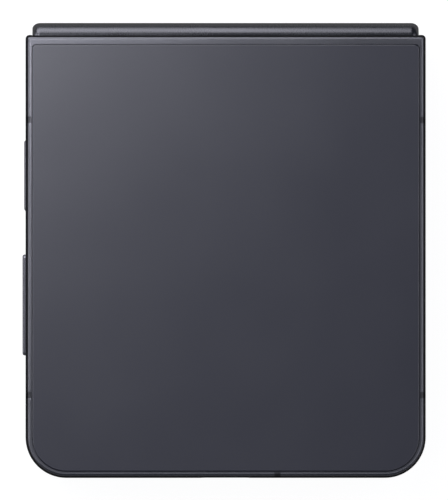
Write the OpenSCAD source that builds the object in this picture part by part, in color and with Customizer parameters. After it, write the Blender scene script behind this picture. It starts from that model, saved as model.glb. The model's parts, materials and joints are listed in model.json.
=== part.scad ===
// Clamshell foldable smartphone, lying closed on its camera half.
// X runs across the phone, +Y points to the hinge, +Z is up; the keys are on -X.
// base = the lower half (cover display and cameras), lid = the upper half (rear glass and port).
// Pieces of a half are drawn in that half's own depth s: 0 at its outer face, half_t at its rim.

/* [Body] */
// Width across the phone
body_w = 75.2; // [70:0.1:90]
// Length of one half, from the free edge to the hinge edge
half_len = 83.24; // [78:0.01:100]
// Thickness of one half
half_t = 6.5; // [6.3:0.1:8.5]
// Space between the two rims when closed
fold_gap = 0.7; // [0.5:0.05:1.2]
// Outer corner radius at the free edge
corner_r = 7.65; // [6:0.05:10]
// Corner radius beside the hinge
hinge_corner_r = 0.7; // [0.65:0.05:1.2]
// Rounding of the outer edge
edge_r = 0.55; // [0.3:0.05:0.6]
// Rounding of the inner rim
rim_r = 0.25; // [0.1:0.05:0.4]

/* [Walls] */
// Thickness of the side wall
wall = 2.6; // [2.4:0.1:3.2]
// Thickness of the plate behind the inner display
midplate_t = 0.6; // [0.5:0.05:0.7]
// Width of the frame around the outer glass
glass_border = 1.2; // [1:0.05:1.4]
// Width of the frame between the glass and the hinge
glass_hinge_border = 1.75; // [1.5:0.05:2.2]

/* [Glass and displays] */
// Thickness of the outer glass
glass_t = 0.6; // [0.5:0.05:0.7]
// Thickness of the display panels
panel_t = 0.5; // [0.4:0.05:0.55]
// Thickness of the bezel above the inner display
bezel_t = 0.3; // [0.2:0.05:0.4]
// Width of the bezel strip
bezel_w = 1.8; // [1.4:0.1:2.4]

/* [Hinge] */
// How far the hinge cover stands out behind the halves
cover_out = 2.26; // [2:0.01:2.4]
// Distance of each fold axis from the plane between the halves
axis_d = 1.2; // [1:0.01:1.3]
// Space left between the halves when open
open_gap = 0.2; // [0.1:0.05:0.3]
// Outer radius of the hinge cover about each fold axis
cover_r = 3.75; // [3.7:0.01:3.9]
// Wall of the hinge cover
cover_wall = 0.45; // [0.35:0.05:0.5]
// Distance of the cover's ends from the sides
cover_inset = 1.28; // [1.2:0.01:1.6]
// Place of each hinge mechanism along X
module_x = 20; // [18:0.5:22]

/* [Keys and openings] */
// Length of the power key
power_len = 13.3; // [11:0.1:16]
// Length of the volume key
volume_len = 19; // [16:0.1:22]
// Height of the keys across the frame
key_h = 2.4; // [2:0.1:2.6]
// How far the power key stands out
power_out = 0.25; // [0.2:0.01:0.4]
// How far the volume key stands out
volume_out = 0.57; // [0.4:0.01:0.7]
// Width of the port shell
usb_w = 8.94; // [8.9:0.01:9]
// Height of the port shell
usb_h = 3.16; // [3.1:0.01:3.2]
// Length of the card tray
tray_len = 14; // [12:0.5:16]

/* [Cameras] */
// Outer radius of each lens ring
ring_r = 6.4; // [6:0.1:7.7]
// Height of the lens rings above the cover glass
lens_h = 0.9; // [0.6:0.1:1.2]
// Space between the two lens rings
lens_gap = 1.8; // [1:0.1:2.4]
// Width of each camera module
cam_w = 11; // [9:0.5:11.5]

/* [Fits] */
// Gap round the glass, keys and other trim
trim_gap = 0.08; // [0.05:0.01:0.1]
// Gap between sliding hinge parts
slide_gap = 0.05; // [0.04:0.01:0.06]
// Radial clearance of the small gears on their pins
pin_gap = 0.03; // [0.02:0.01:0.04]

/* [Hidden] */

$fn = 64;
arc_steps = 10;          // straight pieces in each quarter of a rounded outline
eps = 0.01;              // overshoot of cuts past open faces

// places along Y
y_free = -(half_len + cover_out) / 2;
y_hinge = y_free + half_len;
y_axis = y_hinge - (axis_d - open_gap / 2);

// places along Z
z_outer = lens_h;                             // outer face of the base
z_mid = lens_h + half_t + fold_gap / 2;       // plane between the halves
z_top = lens_h + 2 * half_t + fold_gap;       // outer face of the lid
s_axis = half_t + fold_gap / 2 - axis_d;      // depth of the fold axis inside a half

// depths inside a half
s_bezel = half_t - bezel_t;
s_panel = s_bezel - panel_t;
s_mid = s_panel - midplate_t;

// insets from the outer outline
pocket_in = glass_border - trim_gap;          // glass pocket
rim_in = 1.6;                                 // pocket for midplate and bezel
panel_in = rim_in + 0.4;                      // inner display panels

// limits of the inside
x_in = body_w / 2 - wall;
y_in_free = y_free + wall;
cavity_r = cover_r + 0.12;                    // hinge cavity about the fold axis
y_in_hinge = y_axis - cavity_r - 1.2;
pad_y = 6.3;                                  // length of the pads below the hinge arms
s_pad = s_axis - 1.35;

// hinge section, in (u, v): u from the hinge edge outwards, v up from the mid plane
u_axis = y_axis - y_hinge;
u_rim = u_axis + 1.0;                         // inner edge of the cover
cover_x = body_w / 2 - cover_inset;

// hinge module slices along X, from the module's inner end
rib = 0.8;
rail_w = 3;
gear_w = 1.4;
x_rail1 = rib;
x_gear1 = x_rail1 + rail_w + rib;
x_gear2 = x_gear1 + gear_w;
x_gear3 = x_gear2 + gear_w;
x_rail2 = x_gear3 + gear_w + rib;
module_w = x_rail2 + rail_w + rib;
module_x0 = module_x - module_w / 2;

// gear train
sector_teeth = 12;
pinion_teeth = 8;
sector_r = axis_d;
gear_m = 2 * sector_r / sector_teeth;
pinion_r = gear_m * pinion_teeth / 2;
pinion_u = u_axis + sqrt(pow(sector_r + pinion_r, 2) - pow(3 * pinion_r - axis_d, 2));
sync_angle = atan2(3 * pinion_r - axis_d, pinion_u - u_axis);
pinion_pitch = 360 / pinion_teeth;
sync_phase = 180 - sync_angle;
idler_phase = -sync_phase + pinion_pitch / 2;
pin_r = 0.25;
rail_r1 = 2.0;
rail_r2 = 2.9;

// antenna bands: distance from the middle along each side, and along the free edge
band_w = 1.17;
band_y1 = y_hinge - 16;
band_y2 = y_free + 15.55;
band_x = 9.72;

// keys
power_y = y_hinge - 26.41;
volume_y = y_hinge - 50.77;
s_key = half_t / 2;
key_travel = 0.25;
rock_r = 0.38;                                // round rib that the volume key rocks on
x_wall = body_w / 2;

// cameras and other inside places
lens_y = y_free + 11.25;
lens_x = -(x_in - 8);
lens_pitch = 2 * ring_r + lens_gap;
lens_neck_r = ring_r - 0.7;
lens_bore_r = ring_r - 1.8;
flash_x = lens_x + lens_pitch + 9.5;
flash_r = 1.3;
front_w = 6.4;                                // width of the front camera's module
front_y = y_in_free + 0.4 + front_w / 2;
front_r = 1.9;
tray_y = y_free + 26;
usb_len = 7.3;
s_usb = half_t / 2;
board_t = 0.7;
s_board = s_usb - board_t / 2;
s_fill1 = glass_t + panel_t + 0.15;           // first free depth behind the cover panel
s_flex = s_axis - 0.95;                       // flat cables pass here, over the batteries
s_fill2 = s_flex - 0.1;                       // last depth of the batteries
s_main = 2.0;                                 // lower face of the main board
fold_r = fold_gap / 2 + bezel_t;              // inner radius of the folded display

// screws: along the sides of each half, and in the hinge arms
boss_r = 1.6;
boss_x = x_in - 0.9;
boss_y = [y_free + 17.5, y_hinge - 37.2, y_hinge - 15];
screw_r = 0.5;
screw_head_r = 1.1;
screw_head_t = 0.35;
screw_l = 2.2;
root_y1 = y_in_hinge - pad_y + 0.2;
root_y2 = y_in_hinge - 0.1;
support_t = 0.17;                             // plate under the fold
s_root = s_panel - 0.03 - support_t;
base_arm_x = module_x0 + x_gear2 / 2;
lid_arm_x = module_x0 + module_w - x_gear2 / 2;

// ---- places and shapes used by several pieces ----

module in_base() {
    translate([0, 0, z_outer]) children();
}

module in_lid() {
    translate([0, 0, z_top]) mirror([0, 0, 1]) children();
}

module both_sides() {
    children();
    mirror([1, 0, 0]) children();
}

// an outline in (y, z) drawn out along X
module along_x(x, w) {
    translate([x, 0, 0]) rotate([90, 0, 90]) linear_extrude(w) children();
}

function arc(cx, cy, r, a1, a2, n = arc_steps) =
    [for (i = [0 : n]) let (a = a1 + (a2 - a1) * i / n) [cx + r * cos(a), cy + r * sin(a)]];

// a plate outline: |x| within half_x, corners r1 at the y1 end and r2 at the y2 end
module outline(half_x, y1, y2, r1, r2) {
    polygon(concat(
        arc(half_x - r1, y1 + r1, r1, -90, 0),
        arc(half_x - r2, y2 - r2, r2, 0, 90),
        arc(-half_x + r2, y2 - r2, r2, 90, 180),
        arc(-half_x + r1, y1 + r1, r1, 180, 270)));
}

module plate(s1, s2, half_x, y1, y2, r1, r2) {
    translate([0, 0, s1]) linear_extrude(s2 - s1) outline(half_x, y1, y2, r1, r2);
}

module box(x1, x2, y1, y2, s1, s2) {
    translate([x1, y1, s1]) cube([x2 - x1, y2 - y1, s2 - s1]);
}

module tube(x, y, s1, s2, r_out, r_in) {
    translate([x, y, s1]) difference() {
        cylinder(r = r_out, h = s2 - s1);
        translate([0, 0, -eps]) cylinder(r = r_in, h = s2 - s1 + 2 * eps);
    }
}

module disc(x, y, s1, s2, r) {
    translate([x, y, s1]) cylinder(r = r, h = s2 - s1);
}

// ---- the frame of a half ----

// section through the edge: outer wall at p = depth, rounded at both faces
function edge_section(depth) = concat(
    [[0, 0]],
    arc(depth - edge_r, edge_r, edge_r, -90, 0, 6),
    arc(depth - rim_r, half_t - rim_r, rim_r, 0, 90, 4),
    [[0, half_t]]);

module edge_bar(depth, length) {
    rotate([90, 0, 0]) linear_extrude(length) polygon(edge_section(depth));
}

module edge_corner(depth) {
    rotate_extrude(angle = 90) polygon(edge_section(depth));
}

// the outer form of a half, before it is hollowed
module half_slab() {
    x1 = x_wall - corner_r;
    x2 = x_wall - hinge_corner_r;
    y1 = y_free + corner_r;
    y2 = y_hinge - hinge_corner_r;
    box(-x1, x1, y1, y2, 0, half_t);
    translate([x1, y1, 0]) rotate([0, 0, -90]) edge_bar(corner_r, 2 * x1);
    translate([-x2, y2, 0]) rotate([0, 0, 90]) edge_bar(hinge_corner_r, 2 * x2);
    both_sides() {
        translate([x1, y2, 0]) edge_bar(corner_r, y2 - y1);
        translate([x1, y1, 0]) rotate([0, 0, -90]) edge_corner(corner_r);
        translate([x2, y2, 0]) edge_corner(hinge_corner_r);
    }
}

module band_blocks() {
    for (y = [band_y1, band_y2])
        both_sides()
            box(x_wall - pocket_in, x_wall + 1, y - band_w / 2, y + band_w / 2, -1, half_t + 1);
    box(band_x - band_w / 2, band_x + band_w / 2, y_free - 1, y_free + pocket_in, -1, half_t + 1);
}

module antenna_bands() {
    intersection() {
        half_slab();
        band_blocks();
    }
}

// room inside a half below the midplate, round the screw bosses and the hinge pads
module cavity() {
    difference() {
        plate(glass_t - eps, s_mid + eps, x_in, y_in_free, y_in_hinge, corner_r - wall, 1);
        both_sides() {
            box(module_x0 - 0.6, module_x0 + module_w + 0.6, y_in_hinge - pad_y, y_in_hinge + 1, 0, s_pad);
            for (y = boss_y)
                disc(boss_x, y, s_fill1 + 0.1, half_t, boss_r);
        }
    }
}

module frame_hollow() {
    plate(-eps, glass_t, x_wall - pocket_in, y_free + pocket_in,
        y_hinge - glass_hinge_border + trim_gap, corner_r - pocket_in, 1);
    cavity();
    plate(s_mid, half_t + eps, x_wall - rim_in, y_free + rim_in, y_hinge + 5, corner_r - rim_in, 1);
    // hinge cavity about the fold axis, and room for the arms and the cable above its wall
    translate([-cover_x - 0.1, y_axis, s_axis]) rotate([0, 90, 0])
        cylinder(r = cavity_r, h = 2 * cover_x + 0.2);
    both_sides()
        box(module_x0 - 0.6, module_x0 + module_w + 0.6, y_in_hinge - pad_y, y_hinge, s_pad, half_t + 1);
    box(-6.3, 6.3, y_in_hinge - 1, y_axis - 3, s_axis - 1.1, half_t);
    // rim corner beside the hinge, cut back so that the halves pass each other
    translate([0, y_axis, s_axis]) along_x(-x_wall - 1, body_w + 2)
        polygon(concat(arc(0, 0, axis_d - open_gap / 2, 0, 60, 6), [[0, 3], [3, 3], [3, 0]]));
    both_sides()
        for (y = boss_y)
            disc(boss_x, y, s_mid - 2, half_t, screw_r);
    both_sides()
        for (x = [base_arm_x, lid_arm_x], y = [root_y1 + 1.5, root_y2 - 1.5])
            disc(x, y, s_pad - 1.2, half_t, screw_r);
}

module slot_x(y, length, height, x1, x2) {
    box(x1, x2, y - length / 2, y + length / 2, s_key - height / 2, s_key + height / 2);
}

module base_frame() {
    color("#5a5a62") in_base() difference() {
        half_slab();
        frame_hollow();
        band_blocks();
        for (k = [[power_y, power_len], [volume_y, volume_len]]) {
            slot_x(k[0], k[1] + 2 * trim_gap, key_h + 2 * trim_gap, -x_wall - 1, -x_in + 1);
            slot_x(k[0], k[1] + 1.2, key_h + 1, -x_wall + 1.2, -x_in + 1);
        }
        slot_x(tray_y, tray_len + 2 * trim_gap, 2.2 + 2 * trim_gap, x_in - 1, x_wall + 1);
    }
}

module port_outline(w, h) {
    r = h / 2;
    polygon(concat(arc(w / 2 - r, 0, r, -90, 90, 12), arc(-w / 2 + r, 0, r, 90, 270, 12)));
}

module port_block(w, h, y1, y2) {
    translate([0, y2, s_usb]) rotate([90, 0, 0]) linear_extrude(y2 - y1) port_outline(w, h);
}

module lid_frame() {
    color("#5a5a62") in_lid() difference() {
        half_slab();
        frame_hollow();
        band_blocks();
        port_block(usb_w + 2 * trim_gap, usb_h + 2 * trim_gap, y_free - 1, y_in_free + 1);
        for (i = [0 : 4])
            translate([band_x + 4 + i * 2.6, y_in_free + 1, s_usb]) rotate([90, 0, 0])
                linear_extrude(wall + 2) port_outline(1.7, 1);
        translate([-usb_w, y_in_free + 1, s_usb]) rotate([90, 0, 0]) cylinder(r = 0.5, h = wall + 2);
    }
}

module base_antenna_bands() {
    color("#6a6a70") in_base() antenna_bands();
}

module lid_antenna_bands() {
    color("#6a6a70") in_lid() antenna_bands();
}

// ---- plates, glass and displays of a half ----

module screw(x, y, s_head) {
    disc(x, y, s_head - screw_head_t, s_head, screw_head_r);
    disc(x, y, s_head - screw_l, s_head - screw_head_t + eps, screw_r);
}

module half_screws(arm_x) {
    both_sides() {
        for (y = boss_y)
            screw(boss_x, y, s_panel);
        for (y = [root_y1 + 1.5, root_y2 - 1.5])
            screw(arm_x, y, s_root);
    }
}

module midplate() {
    difference() {
        plate(s_mid, s_panel, x_wall - rim_in - trim_gap, y_free + rim_in + trim_gap, y_in_hinge,
            corner_r - rim_in - trim_gap, 1);
        both_sides() {
            box(module_x0 - 0.7, module_x0 + module_w + 0.7, y_in_hinge - pad_y - 0.1, y_in_hinge + 1,
                0, half_t);
            for (y = boss_y) {
                disc(boss_x, y, s_panel - screw_head_t, half_t, screw_head_r);
                disc(boss_x, y, 0, half_t, screw_r);
            }
        }
    }
}

// thin plate under the fold, carried by the hinge arms
module support_plate() {
    box(-x_wall + panel_in, x_wall - panel_in, y_in_hinge + 0.1, y_axis + 0.3, s_root, s_root + support_t);
}

module inner_panel() {
    plate(s_panel, s_bezel, x_wall - panel_in, y_free + panel_in, y_axis - axis_d - 0.03,
        corner_r - panel_in, 0.2);
}

module bezel() {
    difference() {
        plate(s_bezel, half_t, x_wall - rim_in - trim_gap, y_free + rim_in + trim_gap, y_axis - 2.6,
            corner_r - rim_in - trim_gap, 0.3);
        plate(s_bezel - 1, half_t + 1, x_wall - rim_in - bezel_w, y_free + rim_in + bezel_w, y_axis,
            corner_r - rim_in - bezel_w, 0.2);
    }
}

module outer_glass() {
    plate(0, glass_t, x_wall - glass_border, y_free + glass_border, y_hinge - glass_hinge_border,
        corner_r - glass_border, 0.95);
}

module rear_glass() {
    color("#4b4b54") in_lid() outer_glass();
}

// the two lens holes and the flash hole
module camera_holes(r) {
    for (x = [lens_x, lens_x + lens_pitch])
        disc(x, lens_y, -5, half_t + 5, r);
    disc(flash_x, lens_y, -5, half_t + 5, flash_r);
}

module cover_glass() {
    color("#101014") in_base() difference() {
        outer_glass();
        camera_holes(lens_neck_r + trim_gap);
    }
}

module cover_display_panel() {
    color("#1c1c22") in_base() difference() {
        plate(glass_t, glass_t + panel_t, x_in - 0.2, y_in_free + 0.2, y_in_hinge - pad_y - 0.2,
            corner_r - wall - 0.2, 1);
        camera_holes(lens_neck_r + trim_gap);
    }
}

module base_midplate() {
    color("#8a8a90") in_base() difference() {
        midplate();
        disc(0, front_y, 0, half_t, front_r + 0.3);
    }
}

module lid_midplate() {
    color("#8a8a90") in_lid() midplate();
}

module base_support_plate() {
    color("#b0b0b6") in_base() support_plate();
}

module lid_support_plate() {
    color("#b0b0b6") in_lid() support_plate();
}

module base_display_panel() {
    color("#15151a") in_base() difference() {
        inner_panel();
        disc(0, front_y, 0, half_t, front_r + 0.1);
    }
}

module lid_display_panel() {
    color("#15151a") in_lid() inner_panel();
}

module base_bezel() {
    color("#2a2a2e") in_base() bezel();
}

module lid_bezel() {
    color("#2a2a2e") in_lid() bezel();
}

module base_bumpers() {
    color("#1c1c1e") in_base() both_sides()
        for (y = [y_free + corner_r + 2, y_hinge - 30])
            box(x_wall - rim_in - bezel_w + 0.3, x_wall - rim_in - 0.4, y, y + 4, half_t,
                half_t + fold_gap - 0.05);
}

module base_screws() {
    color("#9a9aa0") in_base() half_screws(base_arm_x);
}

module lid_screws() {
    color("#9a9aa0") in_lid() half_screws(lid_arm_x);
}

// ---- inside the base ----

module lens_rings() {
    color("#3c3c42") in_base()
        for (x = [lens_x, lens_x + lens_pitch]) {
            tube(x, lens_y, -lens_h, 0, ring_r, lens_bore_r);
            tube(x, lens_y, -eps, glass_t + panel_t, lens_neck_r, lens_bore_r);
        }
}

module lens_glasses() {
    color("#0a0a0e") in_base()
        for (x = [lens_x, lens_x + lens_pitch])
            disc(x, lens_y, -lens_h + 0.15, -lens_h + 0.7, lens_bore_r);
}

module rear_cameras() {
    color("#2c2c30") in_base()
        for (x = [lens_x, lens_x + lens_pitch]) {
            box(x - cam_w / 2, x + cam_w / 2, lens_y - cam_w / 2, lens_y + cam_w / 2, s_fill1, s_mid);
            disc(x, lens_y, 0.1, s_fill1 + eps, lens_bore_r - 0.1);
        }
}

module flash_led() {
    color("#e8d890") in_base() {
        disc(flash_x, lens_y, 0, s_fill1, flash_r - trim_gap);
        box(flash_x - 1.6, flash_x + 1.6, lens_y - 1.6, lens_y + 1.6, s_fill1 - eps, s_main);
    }
}

module front_camera() {
    color("#222226") in_base() {
        box(-front_w / 2, front_w / 2, front_y - front_w / 2, front_y + front_w / 2,
            s_main + board_t, s_mid);
        disc(0, front_y, s_mid - eps, s_bezel - 0.05, front_r);
    }
}

tray_s = s_main + board_t + 0.35;
tray_x1 = 16.5;
board_x1 = lens_x + lens_pitch + cam_w / 2 + 0.5;
board_x2 = x_in - 0.4;
board_y1 = y_in_free + 0.4;
board_y2 = y_hinge - 47;

module main_board() {
    color("#1f5a3a") in_base() difference() {
        union() {
            box(board_x1, board_x2 - 5, board_y1, board_y2, s_main, s_main + board_t);
            box(board_x1, board_x2, board_y1 + 5, board_y2, s_main, s_main + board_t);
        }
        disc(boss_x, boss_y[0], 0, half_t, boss_r + 0.1);
    }
}

module shield_cans() {
    color("#b8b8bc") in_base() {
        box(board_x1 + 1, tray_x1 - 2, board_y1 + 8, board_y2 - 5, s_main + board_t, s_fill2);
        box(board_x1 + 8, board_x2 - 3, board_y2 - 8, board_y2 - 1, s_fill1, s_main);
        box(board_x1 + 8, board_x2 - 3, board_y1 + 8, board_y2 - 10, s_fill1, s_main);
    }
}

module battery(y1) {
    difference() {
        box(-x_in + 1.2, x_in - 1.2, y1, y_in_hinge - pad_y - 0.6, s_fill1 + 0.1, s_fill2);
        both_sides()
            for (y = boss_y)
                disc(boss_x, y, 0, half_t, boss_r + 0.3);
    }
}

module base_battery() {
    color("#26262a") in_base() battery(board_y2 + 0.8);
}

module earpiece_speaker() {
    color("#303034") in_base()
        box(8, 20, board_y1, board_y1 + 4.5, s_main + board_t, s_mid);
}

module vibration_motor() {
    color("#a8a8ac") in_base()
        disc(lens_x + 3, lens_y + 13, s_fill1, s_mid, 4.5);
}

module sim_reader() {
    color("#b4b4b8") in_base() difference() {
        box(tray_x1 - 1, x_in - 0.4, tray_y - 6.6, tray_y + 6.6, s_main + board_t, tray_s + 1.1);
        box(tray_x1 - 0.2, x_in + 1, tray_y - 6, tray_y + 6, tray_s - 0.15, tray_s + 0.95);
    }
}

// card tray: an end cap flush with the side, a shank and a frame round the card pocket
module sim_tray() {
    color("#5a5a62") in_base() difference() {
        union() {
            box(x_wall - 1.2, x_wall, tray_y - tray_len / 2, tray_y + tray_len / 2, s_key - 1.1, s_key + 1.1);
            box(tray_x1, x_wall - 1.1, tray_y - 5.8, tray_y + 5.8, tray_s - 0.05, tray_s + 0.65);
        }
        box(tray_x1 + 1.5, tray_x1 + 13.9, tray_y - 4.4, tray_y + 4.4, tray_s + 0.15, half_t);
        translate([x_wall - 0.8, tray_y + 5.5, s_key]) rotate([0, 90, 0]) cylinder(r = 0.45, h = 2);
    }
}

// contact domes on a strip behind the keys
module key_switches() {
    color("#c8a860") in_base() {
        for (k = [[power_y, power_len], [volume_y, volume_len]])
            box(-x_in + 0.4, -x_in + 0.7, k[0] - k[1] / 2, k[0] + k[1] / 2, s_key - 1.2, s_key + 1.2);
        for (y = [power_y, volume_y - 6, volume_y + 6])
            translate([-x_in, y, s_key]) rotate([0, 90, 0]) cylinder(r = 1, h = 0.4 + eps);
    }
}

// key cap through the side wall, with a flange behind the wall and plungers towards the domes
module key(y, length, out, plungers) {
    difference() {
        box(-x_wall - out, -x_wall + 1.5, y - length / 2, y + length / 2, s_key - key_h / 2, s_key + key_h / 2);
        // rounded ends
        for (e = [-1, 1])
            translate([0, y + e * (length / 2 - key_h / 2), s_key]) rotate([0, 90, 0]) difference() {
                translate([-key_h, e > 0 ? 0 : -key_h, -x_wall - 2]) cube([2 * key_h, key_h, 4]);
                translate([0, 0, -x_wall - 3]) cylinder(r = key_h / 2, h = 6);
            }
    }
    box(-x_wall + 1.45, -x_wall + 1.9, y - length / 2 - 0.35, y + length / 2 + 0.35,
        s_key - key_h / 2 - 0.25, s_key + key_h / 2 + 0.25);
    for (d = plungers)
        box(-x_wall + 1.85, -x_in - key_travel - 0.05, y + d - 0.8, y + d + 0.8, s_key - 0.8, s_key + 0.8);
}

module power_key() {
    color("#55555d") in_base() key(power_y, power_len, power_out, [0]);
}

// the volume key rocks on a round rib across its flange
module volume_key() {
    color("#55555d") in_base() {
        key(volume_y, volume_len, volume_out, [-6, 6]);
        disc(-x_wall + 1.6, volume_y, s_key - key_h / 2 - 0.25, s_key + key_h / 2 + 0.25, rock_r);
    }
}

// flat cable towards the hinge, with its plug on the board
module flex_strip(y1, s_plug) {
    box(-5, 5, y1, y_axis - 2, s_flex, s_flex + 0.15);
    box(-4, 4, y1, y1 + 3, s_plug, s_flex + eps);
}

module base_flex_cable() {
    color("#b07830") in_base() flex_strip(board_y2 - 4, s_main + board_t);
}

// ---- inside the lid ----

sub_y2 = y_in_free + 13;
coil_r = 20;
coil_bore_r = 9;
ferrite_r = 23;                               // half the side of the square sheet
coil_y = sub_y2 + 0.15 + ferrite_r;
s_coil = glass_t + 0.15;
s_ferrite = s_coil + 0.4;

module charging_coil() {
    color("#b06a38") in_lid() tube(0, coil_y, s_coil, s_ferrite, coil_r, coil_bore_r);
}

module ferrite_sheet() {
    color("#3a3a3c") in_lid()
        box(-ferrite_r, ferrite_r, coil_y - ferrite_r, coil_y + ferrite_r, s_ferrite, s_ferrite + 0.2);
}

module lid_battery() {
    color("#26262a") in_lid() battery(sub_y2 + 0.8);
}

module sub_board() {
    color("#1f5a3a") in_lid() difference() {
        union() {
            box(-x_in + 5.5, band_x, board_y1, sub_y2, s_board, s_board + board_t);
            box(-x_in + 0.4, band_x, board_y1 + 5, sub_y2, s_board, s_board + board_t);
        }
        box(-usb_w / 2 - 0.1, usb_w / 2 + 0.1, y_free, y_free + 0.4 + usb_len + 0.1, 0, half_t);
        disc(-boss_x, boss_y[0], 0, half_t, boss_r + 0.1);
    }
}

// port shell with its tongue, open towards the free edge
module usb_port() {
    color("#a8a8ac") in_lid() {
        difference() {
            port_block(usb_w, usb_h, y_free + 0.4, y_free + 0.4 + usb_len);
            port_block(usb_w - 0.6, usb_h - 0.6, y_free, y_free + 0.4 + usb_len - 1);
        }
        box(-3.35, 3.35, y_free + 1.2, y_free + 0.4 + usb_len - 0.5, s_usb - 0.35, s_usb + 0.35);
    }
}

module loudspeaker() {
    color("#303034") in_lid() difference() {
        box(band_x + 1, x_in - 1, board_y1, sub_y2, s_fill1, s_fill2);
        box(x_in - 5.6, x_in, board_y1 - 1, board_y1 + 5, 0, half_t);
        disc(boss_x, boss_y[0], 0, half_t, boss_r + 0.2);
    }
}

module microphone() {
    color("#c0c0c4") in_lid()
        box(-usb_w - 1.8, -usb_w + 1.8, board_y1 + 0.4, board_y1 + 3, s_board - 1.1, s_board);
}

module lid_flex_cable() {
    color("#b07830") in_lid() flex_strip(sub_y2 - 4, s_board + board_t);
}

// ---- hinge arms, carried by each half ----

// pie slice from angle a1 to a2, used to keep part of a round shape
module wedge(a1, a2) {
    polygon(concat([[0, 0]], arc(0, 0, 8, a1, a2, 8)));
}

rail_top = s_root - s_axis;
rail_end = -180 + asin((slide_gap - rail_top) / rail_r1);
neck_end = -2 / 3 * sector_r;                  // necks end inside the root circle of their sector

// arc rail round the fold axis; it slides in the curved groove of the hinge bracket
module arm_rail() {
    intersection() {
        difference() {
            circle(r = rail_r2);
            circle(r = rail_r1);
        }
        wedge(rail_end, -25);
    }
    polygon([[root_y1 - y_axis, s_flex - s_axis], [-rail_r1, s_flex - s_axis],
        [-rail_r1, rail_top], [root_y1 - y_axis, rail_top]]);
}

// one gear tooth, pointing at angle a, on a pitch circle of radius r
module tooth(r, a) {
    rotate(a) polygon([
        [r - 1.25 * gear_m, -0.85 * gear_m], [r, -0.6 * gear_m], [r + 0.8 * gear_m, -0.25 * gear_m],
        [r + 0.8 * gear_m, 0.25 * gear_m], [r, 0.6 * gear_m], [r - 1.25 * gear_m, 0.85 * gear_m]]);
}

// toothed sector round the fold axis, on a thin neck
module arm_sector(tooth_angles) {
    intersection() {
        circle(r = sector_r - 1.1 * gear_m);
        translate([-2, rail_top - 2]) square([4, 2]);
    }
    for (a = tooth_angles)
        tooth(sector_r, a);
    polygon([[root_y1 - y_axis, rail_top - 0.35], [neck_end, rail_top - 0.35],
        [neck_end, rail_top], [root_y1 - y_axis, rail_top]]);
}

// root block with its screw holes, arc rail and toothed sector
module hinge_arm(x_root, w_root, x_rail, x_sector, tooth_angles) {
    difference() {
        box(x_root, x_root + w_root, root_y1, root_y2, s_pad, s_root);
        for (y = [root_y1 + 1.5, root_y2 - 1.5]) {
            disc(x_root + w_root / 2, y, 0, half_t, screw_r);
            disc(x_root + w_root / 2, y, s_root - screw_head_t, half_t, screw_head_r);
        }
    }
    translate([0, y_axis, s_axis]) difference() {
        union() {
            along_x(x_rail + slide_gap, rail_w - 2 * slide_gap) arm_rail();
            along_x(x_sector + 0.1, gear_w - 0.2) arm_sector(tooth_angles);
        }
        translate([x_root, root_y1 - y_axis - eps, -3]) cube([w_root, root_y2 - root_y1, 4]);
    }
}

sector_pitch = 360 / sector_teeth;

module base_hinge_arms() {
    color("#8e8e94") in_base() both_sides()
        hinge_arm(module_x0 + 0.2, x_gear2 - 0.4, module_x0 + x_rail1, module_x0 + x_gear1,
            [for (k = [-1 : 3]) -sync_angle - (k + 0.5) * sector_pitch]);
}

module lid_hinge_arms() {
    color("#8e8e94") in_lid() both_sides()
        hinge_arm(module_x0 + x_gear3 + 0.2, x_gear2 - 0.4, module_x0 + x_rail2, module_x0 + x_gear3,
            [for (k = [0 : 3]) -sync_angle - k * sector_pitch]);
}

// ---- hinge spine ----

// places an outline given in (u, v) and draws it out along X
module spine_x(x, w) {
    translate([0, y_hinge, z_mid]) along_x(x, w) children();
}

module span(u1, u2, v1, v2) {
    translate([u1, v1]) square([u2 - u1, v2 - v1]);
}

// stadium of radius r about the two fold axes, kept between u1 and u2
module cover_section(r, u1, u2) {
    span(u1, u2, -axis_d, axis_d);
    for (side = [0, 1])
        mirror([0, side]) intersection() {
            translate([u_axis, axis_d]) circle(r = r);
            span(u1, u2, axis_d, axis_d + r + 1);
        }
}

cover_in = cover_r - cover_wall;
cover_end = 0.8;

module hinge_cover() {
    color("#6c6c74") difference() {
        intersection() {
            spine_x(-cover_x, 2 * cover_x) cover_section(cover_r, u_rim, cover_out);
            linear_extrude(2 * z_mid) outline(cover_x, 0, y_hinge + cover_out, 1.3, 1.3);
        }
        spine_x(-cover_x + cover_end, 2 * (cover_x - cover_end))
            cover_section(cover_in, u_rim - 1, cover_out - cover_wall);
    }
}

module hinge_end_caps() {
    color("#46464c") both_sides()
        spine_x(cover_x - cover_end - 1.5, 1.48)
            cover_section(cover_in - 0.02, u_rim, cover_out - cover_wall - 0.02);
}

function gear_v(i) = (2 * i - 3) * pinion_r;

module at_gear(i) {
    translate([pinion_u, gear_v(i)]) children();
}

module groove(side) {
    translate([u_axis, side * axis_d]) difference() {
        circle(r = rail_r2 + slide_gap);
        circle(r = rail_r1 - slide_gap);
    }
}

tip = 0.8 * gear_m;
gear_room = tip + 0.08;

module hinge_brackets() {
    color("#7c7c82") both_sides() difference() {
        spine_x(module_x0, module_w)
            cover_section(cover_in - 0.02, u_rim, cover_out - cover_wall - 0.02);
        spine_x(module_x0 + x_rail1, rail_w) groove(-1);
        spine_x(module_x0 + x_rail2, rail_w) groove(1);
        spine_x(module_x0 + x_gear1, gear_w) translate([u_axis, -axis_d]) circle(r = sector_r + gear_room);
        spine_x(module_x0 + x_gear3, gear_w) translate([u_axis, axis_d]) circle(r = sector_r + gear_room);
        spine_x(module_x0 + x_gear1, 2 * gear_w) at_gear(0) circle(r = pinion_r + gear_room);
        spine_x(module_x0 + x_gear2, 2 * gear_w) at_gear(3) circle(r = pinion_r + gear_room);
        for (i = [1, 2])
            spine_x(module_x0 + x_gear2, gear_w) at_gear(i) circle(r = pinion_r + gear_room);
        pin_rods();
    }
}

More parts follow.
